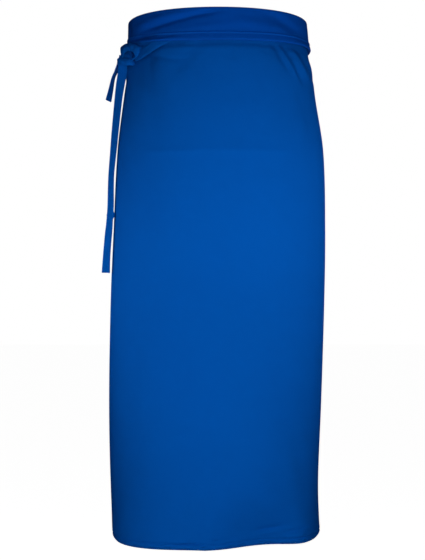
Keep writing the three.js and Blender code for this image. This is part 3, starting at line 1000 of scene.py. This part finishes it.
def tie_stitches(name, path, wide, body):
    """One row along one edge of a tie, where its folded cloth is closed."""
    path, wide = np.asarray(path, float), unit(np.asarray(wide, float))
    ahead = unit(np.gradient(path, axis=0))
    out = np.cross(wide, ahead)
    row = path + wide * (TIE_WIDTH / 2 - TIE_ROWS)
    lines = [row + out * side * (TIE_THICK / 2 - 0.00010) for side in (-1, 1)]
    return stitched(name, lines, body)


def strand_relief(across, length):
    """The far tie where it comes out to the knot: drawn tight, with pleats along it."""
    drawn = 1 - smooth(0.040, 0.075, length)
    pleats = bell(across, 0.0012, 0.0011) + 0.6 * bell(across, -0.0036, 0.0010)
    return tie_relief(across, length) - 0.0009 * drawn * pleats


def waist_band(name, start, end, offset, level, node, relief):
    """A tie round the waist between two angles, at an offset from the cloth and a level."""
    angles = np.linspace(start, end, TIE_STEPS)
    path = on_form(angles, level(angles), offset)
    above = on_form(angles, level(angles) + 0.004, offset)
    across = above - on_form(angles, level(angles) - 0.004, offset)
    piece = strip_piece(name, path, across, TIE_WIDTH, TIE_THICK, relief)
    finish_piece(piece, TIE_TWILL, "apron", "tie_tape", node)
    stitches = tie_stitches(name + "_stitches", path, across, "apron")


def far_tie():
    """Sewn at the -X edge of the back, round +X under the flap, and out below it to the knot."""
    def level(angle):
        return FAR_TIE_Z - 0.026 * smooth(20, 60, -np.degrees(angle))

    waist_band("tie_under_the_flap", FAR_TIE_END, 2 * math.pi - SEWN_ANGLE,
               UNDER_FLAP, level, "far_tie", strand_relief)


def near_tie():
    """Sewn at the +X edge of the back, over the other tie, and outside the flap to the knot."""
    def level(angle):
        return NEAR_TIE_Z - 0.004 * smooth(250, 288, np.degrees(angle))

    waist_band("tie_over_the_flap", SEWN_ANGLE, NEAR_TIE_END,
               OVER_FLAP, level, "near_tie", tie_relief)


TACK_HALF_WIDTH, TACK_HALF_HEIGHT, TACK_TURNS = 0.004, 0.0035, 24
TACK_STITCH, TACK_PITCH = 0.0017, 0.0014


def bar_tack(name, angle, level, offset, node):
    """A dense bar of thread: a close zigzag of short stitches."""
    spread = TACK_HALF_WIDTH / section_at(0.0)[0]
    zigzag = [(2 * k / TACK_TURNS - 1, 1 if k % 2 else -1) for k in range(TACK_TURNS + 1)]
    line = [on_form(angle + spread * a, level + TACK_HALF_HEIGHT * b, offset) for a, b in zigzag]
    fine = []
    for first, second in zip(line[:-1], line[1:]):
        fine += [first + (second - first) * t for t in np.linspace(0, 1, 8)[:-1]]
    stitched(name, [fine + [line[-1]]], "apron", [node], TACK_STITCH, TACK_PITCH)


far_tie()
near_tie()
tack_angle = (EDGE_ANGLE + SEWN_ANGLE) / 2
on_far_tie = FLAP_GAP + CLOTH / 2 + HEM_FOLD * 1.2
bar_tack("far_tie_tack", 2 * math.pi - tack_angle, FAR_TIE_Z, on_far_tie, "far_tie_bar_tack")
bar_tack("near_tie_tack", tack_angle, NEAR_TIE_Z, OVER_FLAP + TIE_THICK / 2, "near_tie_bar_tack")

# ---------------------------------------------------------------------------------------
# Knot and tails
# ---------------------------------------------------------------------------------------

# Where the lengths of the tails meet and end
TAILS_TOP = -0.058
LONG_HEAD_END, LONG_STRIP_END, LONG_END = -0.0722, -0.190, -0.397
SHORT_HEAD_END, SHORT_END = -0.0730, -0.124
# The level of each joint's bend and half the height of the bend, which go with the bodies but are not
# read, so nothing bends
LONG_ROOT_BEND = (-0.066, 0.0055)
LONG_NECK_BEND = (-0.0780, 0.0055)
LONG_FOOT_BEND = (-0.308, 0.014)
SHORT_ROOT_BEND = (-0.067, 0.0055)
SHORT_NECK_BEND = (-0.0785, 0.0050)

# x, y, z and the turn of the strip about the vertical, in degrees
LONG_TAIL = np.array([
    (-0.1460, -0.0400, -0.0550, 12), (-0.1474, -0.0362, -0.0640, 6), (-0.1486, -0.0320, -0.0730, 0),
    (-0.1503, -0.0278, -0.0860, -4), (-0.1530, -0.0262, -0.1010, -12), (-0.1563, -0.026, -0.126, -26),
    (-0.1612, -0.026, -0.175, -34), (-0.1643, -0.026, -0.210, -41), (-0.1670, -0.026, -0.240, -45),
    (-0.1678, -0.0262, -0.262, -44), (-0.1681, -0.0268, -0.292, -41), (-0.1692, -0.0274, -0.308, -43),
    (-0.1701, -0.0276, -0.322, -38), (-0.1714, -0.0279, -0.335, -34), (-0.1727, -0.0284, -0.350, -33),
    (-0.1739, -0.0291, -0.366, -31), (-0.1749, -0.0296, -0.384, -27), (-0.1754, -0.0300, -0.397, -22),
])
SHORT_TAIL = np.array([
    (-0.1500, -0.0300, -0.0560, 70), (-0.1538, -0.0240, -0.0640, 74), (-0.1580, -0.0185, -0.0720, 76),
    (-0.1614, -0.0150, -0.0790, 77), (-0.1655, -0.0136, -0.0880, 75), (-0.1694, -0.0135, -0.1067, 66),
    (-0.1732, -0.0135, -0.1240, 60),
])
# The long tail is twisted at one height and doubled over below the knot at another
TWIST_Z, TWIST_REACH = -0.3065, 0.0042
TWIST_SHIFT, TWIST_WIDER, TWIST_PINCH = 0.0012, 0.0024, 0.0010
FOLD_OVER_Z, FOLD_OVER_SLANT, FOLD_OVER_THICK = -0.0815, 0.78, 0.0013
TAIL_STEP = 0.0018
TAIL_HEM, TAIL_HEM_THICKER = 0.0095, 0.60


def hanging_path(route, start_z, end_z, count):
    """Points down a tail between two heights, and the direction across it at each."""
    fine = spline(route, 900)
    z = np.linspace(start_z, end_z, count)
    x, y, turn = (np.interp(-z, -fine[:, 2], fine[:, k]) for k in (0, 1, 3))
    turn = np.radians(turn)
    wide = np.stack([np.cos(turn), np.sin(turn), 0 * turn], -1)
    return np.stack([x, y, z], -1), wide


def tail_piece(name, route, start_z, end_z, body, *nodes, hem=False):
    """One length of a tail, cut straight across so that it meets the next face to face."""
    count = max(8, round((start_z - end_z) / TAIL_STEP))
    path, wide = hanging_path(route, start_z, end_z, count)
    level = path[:, 2:]
    is_long = route is LONG_TAIL
    twist = bell(level, TWIST_Z, TWIST_REACH) if is_long else 0 * level
    path = path + wide * (TWIST_SHIFT * twist)
    in_hem = 1 - smooth(TAIL_HEM - 0.001, TAIL_HEM + 0.001, path[:, 2] - end_z) if hem else 0
    thick = TIE_THICK * (1 + TAIL_HEM_THICKER * in_hem)
    width = TIE_WIDTH + TWIST_WIDER * twist[:, 0]

    def relief(across, length):
        pinch = TWIST_PINCH * twist * np.sin(across / TIE_WIDTH * 7)
        over = smooth(-0.0006, 0.0006, level - FOLD_OVER_Z + FOLD_OVER_SLANT * across)
        doubled = FOLD_OVER_THICK * over if is_long else 0
        return tie_relief(across, length) - pinch + doubled

    piece = strip_piece(name, path, wide, width, thick, relief)
    finish_piece(piece, TIE_TWILL, body, "tie_tape", *nodes)
    stitches = tie_stitches(name + "_stitches", path, wide, body)


# Edges of the knot's folds, from the wearer's side round to the front
LOOP_BACK_EDGE = np.array([
    (-0.1488, -0.036, -0.0605), (-0.1500, -0.0355, -0.0550), (-0.1509, -0.0355, -0.0470),
    (-0.1507, -0.036, -0.0440), (-0.1478, -0.038, -0.0424), (-0.1375, -0.046, -0.0386),
    (-0.1270, -0.056, -0.0420), (-0.1196, -0.0622, -0.0475), (-0.1174, -0.0638, -0.0500),
    (-0.1178, -0.0648, -0.0530), (-0.1194, -0.0655, -0.0595), (-0.1232, -0.065, -0.0660),
    (-0.1310, -0.0590, -0.0705),
])
LOOP_FRONT_EDGE = np.array([
    (-0.1472, -0.046, -0.0625), (-0.1458, -0.050, -0.0592), (-0.1442, -0.0525, -0.0572),
    (-0.1425, -0.0545, -0.0560), (-0.1400, -0.057, -0.0550), (-0.1362, -0.060, -0.0548),
    (-0.1325, -0.062, -0.0565), (-0.1300, -0.0640, -0.0590), (-0.1290, -0.0645, -0.0608),
    (-0.1278, -0.0650, -0.0635), (-0.1272, -0.0645, -0.0660), (-0.1310, -0.0600, -0.0668),
])
BAND_UPPER_EDGE = np.array([
    (-0.1500, -0.020, -0.0610), (-0.1548, -0.029, -0.0600), (-0.1530, -0.038, -0.0594),
    (-0.1470, -0.045, -0.0635), (-0.1400, -0.050, -0.0655), (-0.1335, -0.052, -0.0668),
    (-0.1300, -0.045, -0.0670),
])
BAND_LOWER_EDGE = np.array([
    (-0.1500, -0.022, -0.0710), (-0.1551, -0.029, -0.0715), (-0.1535, -0.036, -0.0722),
    (-0.1475, -0.042, -0.0735), (-0.1405, -0.047, -0.0752), (-0.1345, -0.050, -0.0757),
    (-0.1310, -0.045, -0.0755),
])


def knot_loop():
    """The standing fold of the knot: one tie brought over the other, open below."""
    def wrinkle(share, length):
        drag = 0.0007 * np.sin(share * 9 + length * 7) * np.sin(length * math.pi)
        pleats = 0.0018 * bell(length, 0.33 + 0.16 * share, 0.035)
        pleats = pleats + 0.0010 * bell(length, 0.52 + 0.10 * share, 0.04)
        return drag - pleats

    along = np.linspace(0, 1, BAND_STEPS)
    crown = np.interp(along, [0, 0.25, 0.6, 1], [0.0012, 0.0035, 0.0032, 0.0006])
    piece = band_between("knot_standing_loop", LOOP_BACK_EDGE, LOOP_FRONT_EDGE, crown,
                         0.0015, wrinkle)
    finish_piece(piece, TIE_TWILL, "apron", "tie_tape", "knot_loop")


def knot_band():
    """The turn of tie that holds the tails together under the loop."""
    def wrinkle(share, length):
        return 0.0005 * np.sin(share * 12 - length * 6) - 0.0012 * bell(length, 0.62, 0.05)

    piece = band_between("knot_band", BAND_UPPER_EDGE, BAND_LOWER_EDGE, 0.0022, 0.0016, wrinkle)
    finish_piece(piece, TIE_TWILL, "apron", "tie_tape", "knot_wrap")


HEART_MIDDLE = (-0.1400, -0.0345, -0.0585)
HEART_SIZE = (0.0085, 0.0065, 0.0095)


def knot_heart():
    """The crossing inside the knot, where both ties are crushed together."""
    turn = np.linspace(0, 2 * math.pi, 40, endpoint=False)[None]
    rise = np.linspace(-1, 1, 26)[1:-1, None]
    lumps = 1 + 0.10 * np.sin(3 * turn + 4 * rise) + 0.06 * np.sin(7 * turn)
    girth = np.sqrt(1 - rise ** 2) * lumps
    ball = np.stack([girth * np.cos(turn), girth * np.sin(turn), rise + 0 * turn], -1)
    loops = HEART_MIDDLE + np.array(HEART_SIZE) * ball
    piece = tube_piece("knot_heart", loops, HEART_SIZE[0] * turn + 0 * rise, loops[..., 2])
    finish_piece(piece, TIE_TWILL, "apron", "tie_tape", "knot_core")


def long_tail():
    """Three lengths: the head, which leaves the knot, the strip, and the foot below the twist."""
    tail_piece("long_tail_head", LONG_TAIL, TAILS_TOP, LONG_HEAD_END,
               ("apron", "long_tail_top", *LONG_ROOT_BEND), "long_tail_root")
    tail_piece("long_tail_strip", LONG_TAIL, LONG_HEAD_END, LONG_STRIP_END,
               ("long_tail_top", "long_tail", *LONG_NECK_BEND), "long_tail_upper")
    tail_piece("long_tail_foot", LONG_TAIL, LONG_STRIP_END, LONG_END,
               ("long_tail", "long_tail_tip", *LONG_FOOT_BEND),
               "long_tail_lower", "long_tail_end_hem", hem=True)


def short_tail():
    """Two lengths: the head, which leaves the knot, and the strip with the hemmed end."""
    tail_piece("short_tail_head", SHORT_TAIL, TAILS_TOP, SHORT_HEAD_END,
               ("apron", "short_tail_top", *SHORT_ROOT_BEND), "short_tail_root")
    tail_piece("short_tail_strip", SHORT_TAIL, SHORT_HEAD_END, SHORT_END,
               ("short_tail_top", "short_tail", *SHORT_NECK_BEND),
               "short_tail_end", "short_tail_end_hem", hem=True)


knot_loop()
knot_band()
knot_heart()
long_tail()
short_tail()
